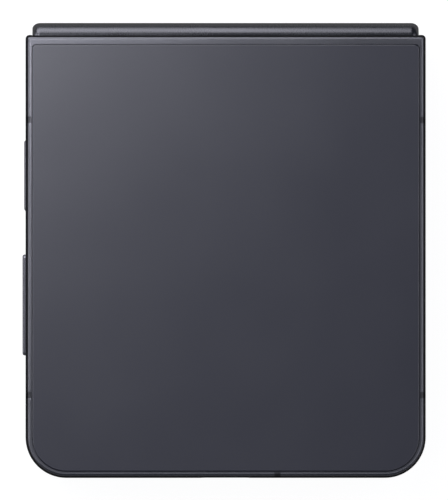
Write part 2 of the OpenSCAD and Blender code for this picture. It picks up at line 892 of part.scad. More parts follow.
module pin_rods() {
    for (i = [0 : 3])
        spine_x(module_x0 + x_gear1 - 0.6, 3 * gear_w + 1.2) at_gear(i) circle(r = pin_r);
}

module gear_pins() {
    color("#b4b4b8") both_sides() pin_rods();
}

module pinion(i, x, w, phase) {
    both_sides() spine_x(module_x0 + x + 0.1, w - 0.2) at_gear(i) difference() {
        union() {
            circle(r = pinion_r - 1.1 * gear_m);
            for (k = [0 : pinion_teeth - 1])
                tooth(pinion_r, phase + k * pinion_pitch);
        }
        circle(r = pin_r + pin_gap);
    }
}

module base_sync_gears() {
    color("#c0a060") pinion(0, x_gear1, 2 * gear_w, sync_phase);
}

module base_idler_gears() {
    color("#c0a060") pinion(1, x_gear2, gear_w, idler_phase);
}

module lid_idler_gears() {
    color("#c0a060") pinion(2, x_gear2, gear_w, sync_phase);
}

module lid_sync_gears() {
    color("#c0a060") pinion(3, x_gear2, 2 * gear_w, idler_phase);
}

module hinge_flex_cable() {
    color("#b07830") spine_x(-5, 10)
        span(cover_out - cover_wall - 0.2, cover_out - cover_wall - 0.05, -axis_d - 1.5, axis_d + 1.5);
}

// the bend of the inner display, between the flat panels of the two halves
module display_fold() {
    color("#15151a") spine_x(-x_wall + panel_in, 2 * (x_wall - panel_in))
        translate([u_axis - axis_d, 0]) intersection() {
            difference() {
                circle(r = fold_r + panel_t);
                circle(r = fold_r);
            }
            span(0, 3, -3, 3);
        }
}

base_frame();
base_antenna_bands();
base_midplate();
cover_glass();
cover_display_panel();
lens_rings();
lens_glasses();
rear_cameras();
flash_led();
front_camera();
main_board();
shield_cans();
base_battery();
earpiece_speaker();
vibration_motor();
sim_reader();
sim_tray();
key_switches();
power_key();
volume_key();
base_display_panel();
base_bezel();
base_bumpers();
base_hinge_arms();
base_support_plate();
base_screws();
base_flex_cable();
lid_frame();
lid_antenna_bands();
lid_midplate();
rear_glass();
charging_coil();
ferrite_sheet();
lid_battery();
sub_board();
usb_port();
loudspeaker();
microphone();
lid_display_panel();
lid_bezel();
lid_hinge_arms();
lid_support_plate();
lid_screws();
lid_flex_cable();
hinge_cover();
hinge_end_caps();
hinge_brackets();
gear_pins();
hinge_flex_cable();
display_fold();
base_sync_gears();
base_idler_gears();
lid_idler_gears();
lid_sync_gears();
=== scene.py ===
import json
import math

import bmesh
import bpy
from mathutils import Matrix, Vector


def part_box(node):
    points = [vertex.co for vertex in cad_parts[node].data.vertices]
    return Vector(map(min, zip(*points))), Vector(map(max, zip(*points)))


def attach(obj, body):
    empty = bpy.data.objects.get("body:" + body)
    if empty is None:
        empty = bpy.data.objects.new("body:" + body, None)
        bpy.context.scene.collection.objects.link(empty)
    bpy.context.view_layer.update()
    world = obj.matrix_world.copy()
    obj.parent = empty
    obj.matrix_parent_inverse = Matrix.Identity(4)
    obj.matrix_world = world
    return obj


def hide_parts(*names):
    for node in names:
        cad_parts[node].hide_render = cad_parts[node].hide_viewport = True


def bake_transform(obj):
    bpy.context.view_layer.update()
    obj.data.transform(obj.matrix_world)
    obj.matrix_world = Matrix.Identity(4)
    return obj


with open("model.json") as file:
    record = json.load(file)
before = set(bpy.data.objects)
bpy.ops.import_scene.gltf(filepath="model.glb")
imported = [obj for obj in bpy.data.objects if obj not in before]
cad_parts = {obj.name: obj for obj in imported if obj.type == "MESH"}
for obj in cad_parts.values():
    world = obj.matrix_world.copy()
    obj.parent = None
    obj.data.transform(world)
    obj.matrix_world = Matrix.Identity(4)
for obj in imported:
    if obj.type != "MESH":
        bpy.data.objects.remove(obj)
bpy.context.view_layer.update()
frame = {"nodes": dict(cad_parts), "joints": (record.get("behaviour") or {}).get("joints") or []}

MM = 0.001
X, Y, Z = 0, 1, 2

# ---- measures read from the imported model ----


def low(node, axis):
    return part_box(node)[0][axis]


def high(node, axis):
    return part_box(node)[1][axis]


def middle(node, axis):
    return (low(node, axis) + high(node, axis)) / 2


def extent(node, axis):
    return high(node, axis) - low(node, axis)


FOLD_AT = next(j["pos_m"] for j in frame["joints"] if j["name"] == "base_fold")
Y_AXIS = FOLD_AT[Y]
Z_AXIS = FOLD_AT[Z]
HALF_X = high("lid_frame", X)
Y_FREE = low("lid_frame", Y)
Y_HINGE = high("lid_frame", Y)
Y_BACK = high("hinge_cover", Y)
Z_BASE = low("base_frame", Z)
Z_LID = high("lid_frame", Z)
HALF_T = extent("lid_frame", Z)
Z_MID = (high("base_frame", Z) + low("lid_frame", Z)) / 2
COVER_X = high("hinge_cover", X)
AXIS_D = Z_MID - Z_AXIS
S_AXIS = Z_AXIS - Z_BASE
GLASS_T = extent("rear_glass", Z)
GLASS_X = high("rear_glass", X)
GLASS_Y1 = low("rear_glass", Y)
GLASS_Y2 = high("rear_glass", Y)
PANEL_T = extent("base_display_panel", Z)
PANEL_X = high("base_display_panel", X)
PANEL_Y1 = low("base_display_panel", Y)
S_PANEL = low("base_display_panel", Z) - Z_BASE
S_BEZEL = S_PANEL + PANEL_T
BEZEL_X = high("base_bezel", X)
BEZEL_Y1 = low("base_bezel", Y)
BEZEL_Y2 = high("base_bezel", Y)
LENS_R = extent("lens_rings", Y) / 2
LENSES = [(x, middle("lens_rings", Y))
          for x in (low("lens_rings", X) + LENS_R, high("lens_rings", X) - LENS_R)]
FLASH = (middle("flash_led", X), middle("flash_led", Y))
PORT_Z = middle("usb_port", Z)

# ---- sizes that the boxes of the nodes don't give ----

CORNER_R = 7.65 * MM        # outer corner at the free edge
HINGE_CORNER_R = 0.75 * MM  # outer corner beside the hinge
EDGE_IN = 1.00 * MM         # rounding of the outer edge, across
EDGE_DOWN = 1.00 * MM       # and down the wall
STEEP_IN = 0.42 * MM        # the steep part below it, across
STEEP_DOWN = 2.4 * MM       # and down to the flat wall
RIM_R = 0.3 * MM            # rounding at the rim, where the halves meet
WALL = 2.6 * MM             # frame wall
RIM_IN = 1.6 * MM           # frame wall beside the bezel
RIM_FLOOR = 0.6 * MM        # and how far it goes on below the display
BACK_T = 0.4 * MM           # least metal under the outer glass
BEZEL_W = 1.8 * MM
BEZEL_EDGE = 0.14 * MM
TRIM_GAP = 0.08 * MM        # gap round what sits in a hole
PANE_IN = 0.05 * MM         # the outer glass, in from the node's box
SEAM = 0.07 * MM            # gap round it
PANE_HINGE_R = 0.95 * MM    # its corners beside the hinge
PANE_EDGE = ((0.20, 0), (0.17, 0.006), (0.05, 0.075), (0.015, 0.12), (0, 0.20))  # (in, down), mm
BAND_W = 1.17 * MM
BAND_DEPTH = 1.12 * MM
BAND_X = 9.72 * MM
BAND_Y = (Y_HINGE - 16 * MM, Y_FREE + 15.55 * MM)
CAVITY_R = 3.87 * MM        # room round the fold axis for the hinge cover
CAVITY_WALL = 1.2 * MM      # metal between it and the room in the half
CABLE_ROOM = (28 * MM, 3 * MM, 1.35 * MM)  # half width, depth past the cavity, and below the axis
COVER_R = 3.75 * MM         # hinge cover: back,
COVER_WALL = 0.45 * MM      # wall,
COVER_RIM = 1.0 * MM        # rim past the axis,
COVER_END = (1.5 * MM, 1.15 * MM)  # and rounding of the ends, along and across
COVER_END_WALL = 0.8 * MM
KEY_H = 2.4 * MM
KEY_R = 0.65 * MM
KEY_FLANGE = 0.7 * MM       # what the flange adds to a key's length
KEY_DOME = (0.45 * MM, 0.36 * MM)  # rounding of the face, across and out
TRAY_SLOT_H = 2.2 * MM
SOUND_SLOT = (1.7 * MM, 1.0 * MM)
SOUND_X = [BAND_X + 4 * MM + i * 2.6 * MM for i in range(5)]
LENS_FOOT = 0.7 * MM        # a lens ring is this much narrower inside the glass
LENS_LIP = 1.8 * MM         # and this wide round the lens
FLASH_R = 1.3 * MM
SHEET_BEND = 36             # rows of the display sheet in the bend
CREASE = (0.03 * MM, 1.6 * MM)  # depth and reach of the crease in the open display

ARC = 20                    # pieces in a quarter of an outline's corner
SLOT_ARC = 6                # and of a slot's corner
LEAST_R = 0.02 * MM
HAIR = 1e-7                 # keeps the two arcs of a round end apart
PAST = MM                   # how far a cutter reaches past what it cuts
BEVEL_ANGLE = 32            # edges sharper than this are rounded
SHARP_ANGLE = 50            # and sharper than this aren't shaded smooth

# ---- the camera, at the photograph's view: straight down on the rear glass ----

PHOTO_ROWS = 500
PX_PER_MM = 5.3222
PHOTO_CENTRE = (-0.31 * MM, 0.075 * MM)
CAMERA_ABOVE = 3.5
CAMERA_LEFT = 0.038
SENSOR = 36


def add_camera():
    data = bpy.data.cameras.new("photo_camera")
    data.sensor_fit = "VERTICAL"
    data.sensor_width = data.sensor_height = SENSOR
    data.lens = SENSOR * CAMERA_ABOVE / (PHOTO_ROWS / PX_PER_MM * MM)
    data.clip_start = 0.1
    data.clip_end = 40
    camera = bpy.data.objects.new("photo_camera", data)
    x, y = PHOTO_CENTRE
    camera.location = (x - CAMERA_LEFT, y, Z_LID - STEEP_DOWN + CAMERA_ABOVE)
    camera.rotation_euler = (0, -math.atan(CAMERA_LEFT / CAMERA_ABOVE), 0)
    bpy.context.scene.collection.objects.link(camera)
    bpy.context.scene.camera = camera


# ---- outlines ----


def arc(cx, cy, r, a1, a2, steps=ARC):
    """Points of an arc in degrees, both ends included."""
    angles = [math.radians(a1 + (a2 - a1) * i / steps) for i in range(steps + 1)]
    return [(cx + r * math.cos(a), cy + r * math.sin(a)) for a in angles]


def circle(cx, cy, r, count):
    return arc(cx, cy, r, 0, 360 * (count - 1) / count, count - 1)


def quarter(steps):
    """A quarter round as (in, down) pairs, from (1, 0) at the face to (0, 1) at the side."""
    turns = [math.radians(90 * i / steps) for i in range(steps + 1)]
    return [(1 - math.sin(t), 1 - math.cos(t)) for t in turns]


def rect(x1, x2, y1, y2):
    return [(x1, y1), (x2, y1), (x2, y2), (x1, y2)]


def outline(half_x, y1, y2, r1, r2, steps=ARC):
    """A plate's outline: corners r1 at the y1 end and r2 at the y2 end."""
    r1 = max(r1, LEAST_R)
    r2 = max(r2, LEAST_R)
    return (arc(half_x - r1, y1 + r1, r1, -90, 0, steps)
            + arc(half_x - r2, y2 - r2, r2, 0, 90, steps)
            + arc(-half_x + r2, y2 - r2, r2, 90, 180, steps)
            + arc(-half_x + r1, y1 + r1, r1, 180, 270, steps))


def slot(length, height, r=None):
    """A slot's outline, long in its first direction, with corners of radius r or round ends."""
    if r is None:
        r = height / 2 - HAIR
    return outline(length / 2, -height / 2, height / 2, r, r, SLOT_ARC)


def moved(points, dx, dy):
    return [(x + dx, y + dy) for x, y in points]


def along(axis, points, value):
    """2D points as 3D points at one value of the axis, in the order of the other two axes."""
    if axis == X:
        return [(value, p, q) for p, q in points]
    if axis == Y:
        return [(p, value, q) for p, q in points]
    return [(p, q, value) for p, q in points]


# ---- mesh helpers ----


def mesh_object(name, verts, faces):
    mesh = bpy.data.meshes.new(name)
    mesh.from_pydata([tuple(v) for v in verts], [], faces)
    bm = bmesh.new()
    bm.from_mesh(mesh)
    bmesh.ops.remove_doubles(bm, verts=bm.verts, dist=1e-7)
    bmesh.ops.recalc_face_normals(bm, faces=bm.faces)
    bm.to_mesh(mesh)
    bm.free()
    obj = bpy.data.objects.new(name, mesh)
    bpy.context.scene.collection.objects.link(obj)
    return obj


def loft(name, rings):
    """A solid through rings of equally many points, capped at both ends."""
    count = len(rings[0])
    verts = [p for ring in rings for p in ring]
    faces = []
    for a in range(0, len(verts) - count, count):
        for i in range(count):
            j = (i + 1) % count
            faces.append((a + i, a + j, a + count + j, a + count + i))
    faces.append(tuple(reversed(range(count))))
    faces.append(tuple(range(len(verts) - count, len(verts))))
    return mesh_object(name, verts, faces)


def prism(name, axis, points, v1, v2):
    return loft(name, [along(axis, points, v1), along(axis, points, v2)])


def turned(name, profile, centre, steps):
    """A turned piece on the upright axis through centre. Its (radius, height) points start
    and end on that axis, or end where they start."""
    verts, faces = [], []
    for r, h in profile:
        for i in range(steps):
            a = 2 * math.pi * i / steps
            verts.append((centre[X] + r * math.cos(a), centre[Y] + r * math.sin(a), h))
    for a in range(0, len(verts) - steps, steps):
        for i in range(steps):
            j = (i + 1) % steps
            faces.append((a + i, a + j, a + steps + j, a + steps + i))
    return mesh_object(name, verts, faces)


def joined(objects):
    """Several objects as one, with all their faces kept."""
    first = objects[0]
    bm = bmesh.new()
    for obj in objects:
        bm.from_mesh(obj.data)
    bm.to_mesh(first.data)
    bm.free()
    for obj in objects[1:]:
        bpy.data.objects.remove(obj)
    return first


def baked(obj):
    """Applies the object's modifiers to its mesh."""
    evaluated = obj.evaluated_get(bpy.context.evaluated_depsgraph_get())
    mesh = bpy.data.meshes.new_from_object(evaluated)
    old = obj.data
    obj.modifiers.clear()
    obj.data = mesh
    bpy.data.meshes.remove(old)
    return obj


def boolean(obj, cutter, operation="DIFFERENCE"):
    cut = obj.modifiers.new("cut", "BOOLEAN")
    cut.operation = operation
    cut.solver = "EXACT"
    cut.object = cutter
    bpy.context.view_layer.update()
    baked(obj)
    bpy.data.objects.remove(cutter)
    return obj


def welded(obj):
    """Welds near-equal points after cuts."""
    bm = bmesh.new()
    bm.from_mesh(obj.data)
    bmesh.ops.remove_doubles(bm, verts=bm.verts, dist=2e-7)
    bmesh.ops.dissolve_degenerate(bm, dist=2e-7, edges=bm.edges)
    bm.to_mesh(obj.data)
    bm.free()
    return obj


def smooth(obj):
    mesh = obj.data
    mesh.polygons.foreach_set("use_smooth", [True] * len(mesh.polygons))
    mesh.set_sharp_from_angle(angle=math.radians(SHARP_ANGLE))


def soften(obj, width=0, segments=2):
    """Rounds the sharp edges where a width is given, and shades the rest smooth with flat
    faces kept flat."""
    if width:
        bevel = obj.modifiers.new("edges", "BEVEL")
        bevel.width = width
        bevel.segments = segments
        bevel.limit_method = "ANGLE"
        bevel.angle_limit = math.radians(BEVEL_ANGLE)
        bevel.use_clamp_overlap = True
        baked(obj)
    smooth(obj)
    weighted = obj.modifiers.new("normals", "WEIGHTED_NORMAL")
    weighted.keep_sharp = True
    weighted.weight = 80
    return baked(obj)


def islands(node):
    """The box of each separate solid in a CAD node."""
    bm = bmesh.new()
    bm.from_mesh(frame["nodes"][node].data)
    bmesh.ops.remove_doubles(bm, verts=bm.verts, dist=1e-6)
    left = set(bm.verts)
    boxes = []
    while left:
        seed = left.pop()
        group, front = [seed], [seed]
        while front:
            vert = front.pop()
            for edge in vert.link_edges:
                other = edge.other_vert(vert)
                if other in left:
                    left.remove(other)
                    group.append(other)
                    front.append(other)
        boxes.append(tuple([limit(v.co[k] for v in group) for k in (X, Y, Z)]
                           for limit in (min, max)))
    bm.free()
    return sorted(boxes)


def finish_piece(obj, node_names, body, material):
    """Puts the piece in place of its CAD nodes, on its body, with its material."""
    obj.data.materials.clear()
    obj.data.materials.append(material)
    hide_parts(*node_names)
    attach(obj, body)
    return obj


# ---- the two halves ----
# A half is drawn by its depth s: 0 at its outer face, HALF_T at its rim.


def z_of(half, s):
    return Z_BASE + s if half == "base" else Z_LID - s


def inward(half):
    return 1 if half == "base" else -1


def ring_at(half, points, s):
    return along(Z, points, z_of(half, s))


def half_prism(half, points, s1, s2):
    return loft("cutter", [ring_at(half, points, s1), ring_at(half, points, s2)])


def half_outline(inset):
    """A half's outline, with extra points just beside the bands so that their cuts don't
    bend the shading."""
    x, y = HALF_X - inset, Y_FREE + inset
    near = BAND_W / 2 + 0.3 * MM
    points = outline(x, y, Y_HINGE - inset, CORNER_R - inset, HINGE_CORNER_R - inset)
    stops = [p + side * near for p in reversed(BAND_Y) for side in (-1, 1)]
    one, three = ARC + 1, 3 * (ARC + 1)
    return (points[:one] + [(x, stop) for stop in stops] + points[one:three]
            + [(-x, stop) for stop in reversed(stops)] + points[three:]
            + [(BAND_X + side * near, y) for side in (-1, 1)])


def half_slab(name, half):
    """The outer form of a half: a wide soft edge at the outer face, a steep part below it,
    and a small rounding at the rim."""
    end = math.radians(45)
    section = []
    for i in range(11):
        t = end * i / 10
        inset = EDGE_IN - (EDGE_IN - STEEP_IN) * math.sin(t) / math.sin(end)
        section.append((inset, EDGE_DOWN * (1 - math.cos(t))))
    start = section[-1][1]
    for i in range(1, 9):
        section.append((STEEP_IN * (1 - i / 8), start + (STEEP_DOWN - start) * i / 8))
    section += [(RIM_R * b, HALF_T - RIM_R * a) for a, b in quarter(6)]
    return loft(name, [ring_at(half, half_outline(inset), s) for inset, s in section])


def hollow(obj, half):
    """Cuts what a half holds out of it: the glass, the inside, the display and the hinge."""
    more = SEAM - PANE_IN
    pocket = outline(GLASS_X + more, GLASS_Y1 - more, GLASS_Y2 + more,
                     CORNER_R - (HALF_X - GLASS_X) + more, PANE_HINGE_R - SEAM)
    boolean(obj, half_prism(half, pocket, -PAST, GLASS_T))
    y_cavity = Y_AXIS - CAVITY_R
    room = outline(HALF_X - WALL, Y_FREE + WALL, y_cavity - CAVITY_WALL, CORNER_R - WALL, MM)
    boolean(obj, half_prism(half, room, BACK_T, HALF_T + PAST))
    rim = outline(HALF_X - RIM_IN, Y_FREE + RIM_IN, Y_HINGE + 5 * PAST, CORNER_R - RIM_IN, MM)
    boolean(obj, half_prism(half, rim, S_PANEL - RIM_FLOOR, HALF_T + PAST))
    axis_z = z_of(half, S_AXIS)
    drum_x = COVER_X + 0.1 * MM
    boolean(obj, prism("cutter", X, circle(Y_AXIS, axis_z, CAVITY_R, 96), -drum_x, drum_x))
    around = arc(0, 0, Y_HINGE - Y_AXIS, 0, 70, 10)
    far = 4 * MM
    corner = [(Y_AXIS + y, axis_z + inward(half) * z)
              for y, z in around + [(0.35 * MM, far), (far, far), (far, 0)]]
    boolean(obj, prism("cutter", X, corner, -HALF_X - PAST, HALF_X + PAST))
    half_w, deep, below = CABLE_ROOM
    cable_room = rect(-half_w, half_w, y_cavity - deep, Y_HINGE)
    boolean(obj, half_prism(half, cable_room, S_AXIS - below, HALF_T + PAST))


def band_blocks():
    """Blocks where the antenna bands are: one on the free edge, and two on each side."""
    half_w = BAND_W / 2
    blocks = [rect(BAND_X - half_w, BAND_X + half_w, Y_FREE - PAST, Y_FREE + BAND_DEPTH)]
    for y in BAND_Y:
        for x1, x2 in ((HALF_X - BAND_DEPTH, HALF_X + PAST), (-HALF_X - PAST, BAND_DEPTH - HALF_X)):
            blocks.append(rect(x1, x2, y - half_w, y + half_w))
    return [prism("cutter", Z, block, Z_BASE - PAST, Z_LID + PAST) for block in blocks]


def flared_slot(axis, centre, length, height, start, end, flare=0.12 * MM, r=None):
    """A slot cutter with a narrow chamfer at its mouth, which lies at start."""
    sign = 1 if end > start else -1
    lead = 0.4 * MM
    rings = []
    for grow, value in ((flare + lead, start - sign * lead), (flare, start),
                        (0, start + sign * flare), (0, end)):
        points = slot(length + 2 * grow, height + 2 * grow, r + grow if r else None)
        rings.append(along(axis, moved(points, *centre), value))
    return loft("cutter", rings)


def round_hole(axis, centre, r, start, end, flare=0.08 * MM):
    return flared_slot(axis, centre, 2 * r + 0.001 * MM, 2 * r, start, end, flare)


def base_shell(mat):
    """The frame of the half with the cameras, with its slots for the keys and the tray."""
    obj = half_slab("base_frame_shell", "base")
    hollow(obj, "base")
    boolean(obj, joined(band_blocks()))
    more = 2 * TRIM_GAP
    through = 4 * MM
    for key in ("power_key", "volume_key"):
        boolean(obj, flared_slot(X, (middle(key, Y), middle(key, Z)),
                                 extent(key, Y) - KEY_FLANGE + more, KEY_H + more,
                                 -HALF_X, -HALF_X + through, r=KEY_R + TRIM_GAP))
    boolean(obj, flared_slot(X, (middle("sim_tray", Y), Z_BASE + HALF_T / 2),
                             extent("sim_tray", Y) + more, TRAY_SLOT_H + more,
                             HALF_X, HALF_X - through, 0.06 * MM))
    soften(welded(obj), 0.04 * MM)
    return finish_piece(obj, ["base_frame"], "base", mat["metal"])


def lid_shell(mat):
    """The frame of the half with the rear glass, with its port, sound slots and microphone hole."""
    obj = half_slab("lid_frame_shell", "lid")
    hollow(obj, "lid")
    boolean(obj, joined(band_blocks()))
    more = 2 * TRIM_GAP
    y_in = Y_FREE + 4 * MM
    port_w = extent("usb_port", X)
    boolean(obj, flared_slot(Y, (0, PORT_Z), port_w + more, extent("usb_port", Z) + more,
                             Y_FREE, y_in, 0.22 * MM))
    boolean(obj, joined([flared_slot(Y, (x, PORT_Z), *SOUND_SLOT, Y_FREE, y_in) for x in SOUND_X]))
    boolean(obj, round_hole(Y, (-port_w, PORT_Z), 0.5 * MM, Y_FREE, y_in))
    soften(welded(obj), 0.04 * MM)
    for vertex in obj.data.vertices:
        vertex.co.y = max(vertex.co.y, Y_FREE)
    return finish_piece(obj, ["lid_frame"], "lid", mat["metal"])


def bands(half, mat):
    """The plastic strips in the metal frame, flush with it."""
    obj = joined([boolean(half_slab("band", half), block, "INTERSECT") for block in band_blocks()])
    obj.name = half + "_bands"
    soften(welded(obj))
    return finish_piece(obj, [half + "_antenna_bands"], half, mat["band"])


def outer_pane(name, half, holes=()):
    """Outer glass with a rounded outer edge."""
    r_free = CORNER_R - (HALF_X - GLASS_X)
    rings = []
    for inset, s in [(i * MM, s * MM) for i, s in PANE_EDGE] + [(0, GLASS_T)]:
        inset += PANE_IN
        edge = outline(GLASS_X - inset, GLASS_Y1 + inset, GLASS_Y2 - inset,
                       r_free - inset, PANE_HINGE_R - inset)
        rings.append(ring_at(half, edge, s))
    obj = loft(name, rings)
    for x, y, r in holes:
        boolean(obj, half_prism(half, circle(x, y, r, 64), -PAST, 2 * MM))
    return soften(welded(obj))


def panes(mat):
    rear = outer_pane("rear_glass_pane", "lid")
    finish_piece(rear, ["rear_glass"], "lid", mat["rear_glass"])
    holes = [(x, y, LENS_R - LENS_FOOT + TRIM_GAP) for x, y in LENSES] + [(*FLASH, FLASH_R)]
    cover = outer_pane("cover_glass_pane", "base", holes)
    finish_piece(cover, ["cover_glass"], "base", mat["cover_glass"])


def hinge_cover(mat):
    """The spine's shell: a round-backed channel with soft, closed ends."""
    y_rim = Y_AXIS + COVER_RIM

    def section(radius, y_back, y_front):
        """Points (y, z) from the lower rim round the back to the upper rim."""
        points = []
        a0 = math.degrees(math.acos(min((y_front - Y_AXIS) / radius, 1)))
        a1 = math.degrees(math.acos(min((y_back - Y_AXIS) / radius, 1)))
        for i in range(17):
            a = math.radians(-a0 + (a0 - a1) * i / 16)
            points.append((Y_AXIS + radius * math.cos(a), Z_MID - AXIS_D + radius * math.sin(a)))
        return points + [(y, 2 * Z_MID - z) for y, z in reversed(points)]

    end_in, end_round = COVER_END
    outer = [(COVER_X - end_in * b, section(COVER_R - end_round * a, Y_BACK - end_round * a, y_rim))
             for a, b in quarter(12)]
    rings = [along(X, points, -x) for x, points in outer]
    rings += [along(X, points, x) for x, points in reversed(outer)]
    obj = loft("hinge_cover_shell", rings)
    inner = section(COVER_R - COVER_WALL, Y_BACK - COVER_WALL, y_rim - PAST)
    inner_x = COVER_X - COVER_END_WALL
    boolean(obj, prism("cutter", X, inner, -inner_x, inner_x))
    soften(welded(obj), 0.16 * MM, 4)
    return finish_piece(obj, ["hinge_cover"], "spine", mat["hinge_metal"])


def key_piece(node, mat):
    """A long key with a softly domed face, and its flange behind the wall."""
    place = middle(node, Y), middle(node, Z)
    length = extent(node, Y) - KEY_FLANGE
    dome, dome_out = KEY_DOME
    x_flange = -HALF_X + 1.5 * MM
    key = moved(slot(length, KEY_H, KEY_R), *place)
    flange = moved(slot(length + 0.6 * MM, KEY_H + 0.5 * MM, KEY_R), *place)
    rings = []
    for a, b in quarter(8):
        inset = dome * a
        points = slot(length - 2 * inset, KEY_H - 2 * inset, KEY_R - inset)
        rings.append(along(X, moved(points, *place), low(node, X) + dome_out * b))
    rings += [along(X, key, x_flange), along(X, flange, x_flange),
              along(X, flange, high(node, X) - 0.8 * MM)]
    obj = loft(node + "_cap", rings)
    soften(welded(obj))
    return finish_piece(obj, [node], node, mat["key"])


def display_sheet(name, half, nodes, mat):
    """Half of the folding display, from the free edge to the middle of the bend.
    Each point is placed so that the sheet lies flat when the phone is open."""
    d, rise = AXIS_D, S_BEZEL - S_AXIS
    start = (-d, rise)
    end = (-rise, d)
    across = [end[0] - start[0], end[1] - start[1]]
    length2 = across[0] ** 2 + across[1] ** 2

    def share(y, z):
        """How far the point (y, z) from the fold axis follows the spine, 0 to 1."""
        t = ((y - start[0]) * across[0] + (z - start[1]) * across[1]) / length2
        t = max(0.0, min(1.0, t))
        return t * t * (3 - 2 * t)

    def rest_place(y, z):
        """Where the point (y, z) of the open sheet lies when the phone is shut."""
        low_w, high_w = 0.0, 1.0
        for _ in range(40):
            w = (low_w + high_w) / 2
            a = math.radians(90 * w)
            p = (y * math.cos(a) - z * math.sin(a), y * math.sin(a) + z * math.cos(a))
            if share(*p) > w:
                low_w = w
            else:
                high_w = w
        return p

    r = CORNER_R - (HALF_X - PANEL_X)
    y_round, y_flat, y_end = PANEL_Y1 + r, Y_AXIS - d, Y_AXIS + d
    stations = [PANEL_Y1 + r * (1 - math.cos(math.radians(90 * i / 14))) for i in range(15)]
    stations += [y_round + (y_flat - y_round) * i / 12 for i in range(1, 13)]
    stations += [y_flat + 2 * d * i / SHEET_BEND for i in range(1, SHEET_BEND + 1)]
    columns = [-1 + 2 * i / 24 for i in range(25)]
    z_axis = z_of(half, S_AXIS)
    sign = inward(half)
    verts = []
    for face in (0, 1):
        for y in stations:
            past = max(0.0, y_round - y)
            half_x = PANEL_X - r + math.sqrt(max(r * r - past * past, 0))
            crease = CREASE[0] * math.exp(-((y_end - y) / CREASE[1]) ** 2)
            z = rise - face * PANEL_T - crease
            bent = y > y_flat - MM
            ry, rz = rest_place(y - Y_AXIS, z) if bent else (y - Y_AXIS, z)
            verts += [(c * half_x, Y_AXIS + ry, z_axis + sign * rz) for c in columns]
    rows, cols = len(stations), len(columns)
    faces = []

    def at(face, i, j):
        return face * rows * cols + i * cols + j

    for i in range(rows - 1):
        for j in range(cols - 1):
            faces.append((at(0, i, j), at(0, i, j + 1), at(0, i + 1, j + 1), at(0, i + 1, j)))
            faces.append((at(1, i, j), at(1, i + 1, j), at(1, i + 1, j + 1), at(1, i, j + 1)))
    for i in range(rows - 1):
        for j in (0, cols - 1):
            faces.append((at(0, i, j), at(0, i + 1, j), at(1, i + 1, j), at(1, i, j)))
    for j in range(cols - 1):
        for i in (0, rows - 1):
            faces.append((at(0, i, j), at(0, i, j + 1), at(1, i, j + 1), at(1, i, j)))
    obj = mesh_object(name, verts, faces)
    if half == "base":
        hole = circle(middle("front_camera", X), middle("front_camera", Y), 2.0 * MM, 48)
        boolean(obj, half_prism(half, hole, S_PANEL - 0.5 * MM, S_BEZEL + 0.4 * MM))
    smooth(obj)
    obj.data.materials.clear()
    obj.data.materials.append(mat["display"])
    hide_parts(*nodes)
    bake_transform(obj)
    return obj


def bezel_piece(half, mat):
    """The raised plastic strip round the inner display."""
    r = CORNER_R - (HALF_X - BEZEL_X)
    section = [(BEZEL_EDGE * a, HALF_T - BEZEL_EDGE * b) for a, b in quarter(5)]
    section = [(0, S_BEZEL)] + section[::-1]
    obj = loft(half + "_bezel_strip",
               [ring_at(half, outline(BEZEL_X - i, BEZEL_Y1 + i, BEZEL_Y2 - i, r - i, 0.35 * MM), s)
                for i, s in section])
    inset = RIM_IN + BEZEL_W
    inner = outline(HALF_X - inset, Y_FREE + inset, Y_HINGE + PAST, CORNER_R - inset, 0.2 * MM)
    boolean(obj, half_prism(half, inner, S_BEZEL - PAST, HALF_T + PAST))
    soften(welded(obj), 0.05 * MM)
    return finish_piece(obj, [half + "_bezel"], half, mat["bezel"])


def bumper_pieces(mat):
    """Four soft pads in the base's bezel."""
    edge = 0.22 * MM
    for k, (lo, hi) in enumerate(islands("base_bumpers")):
        x, y = (lo[X] + hi[X]) / 2, (lo[Y] + hi[Y]) / 2
        length, width = hi[X] - lo[X], hi[Y] - lo[Y]
        rings = []
        for a, b in quarter(6):
            less = 2 * edge * a
            if length > width:
                points = slot(length - less, width - less)
            else:
                points = [(q, p) for p, q in slot(width - less, length - less)]
            rings.append(along(Z, moved(points, x, y), high("base_bumpers", Z) - edge * b))
        rings.append([(p[X], p[Y], low("base_bumpers", Z)) for p in rings[-1]])
        pad = loft("bumper_%d" % k, rings)
        soften(pad)
        finish_piece(pad, ["base_bumpers"], "base", mat["rubber"])


# ---- the cameras and the flash ----


def lens_pieces(mat):
    """Rings with a turned profile, and domed lens glasses."""
    bore = LENS_R - LENS_LIP
    foot = LENS_R - LENS_FOOT
    z0 = low("lens_rings", Z)
    top = high("lens_rings", Z)
    inner, outer = 0.35 * MM, 0.25 * MM
    rounded = quarter(6)
    profile = [(bore, z0 + inner)] + [(bore + inner * b, z0 + inner * a) for a, b in rounded]
    profile += [(LENS_R - outer * a, z0 + outer * b) for a, b in rounded]
    profile += [(LENS_R, Z_BASE), (foot, Z_BASE), (foot, top), (bore, top), (bore, z0 + inner)]
    z1 = z0 + 0.15 * MM
    z2 = z1 + 0.5 * MM
    dome = [(0, z1)] + [(bore * i / 10, z1 + 0.10 * MM * (i / 10) ** 4) for i in range(1, 11)]
    dome += [(bore, z2), (0, z2)]
    for k, centre in enumerate(LENSES):
        ring = turned("lens_ring_%d" % k, profile, centre, 96)
        soften(ring)
        finish_piece(ring, ["lens_rings"], "base", mat["camera_metal"])
        glass = turned("lens_glass_%d" % k, dome, centre, 96)
        soften(glass)
        finish_piece(glass, ["lens_glasses"], "base", mat["lens_glass"])


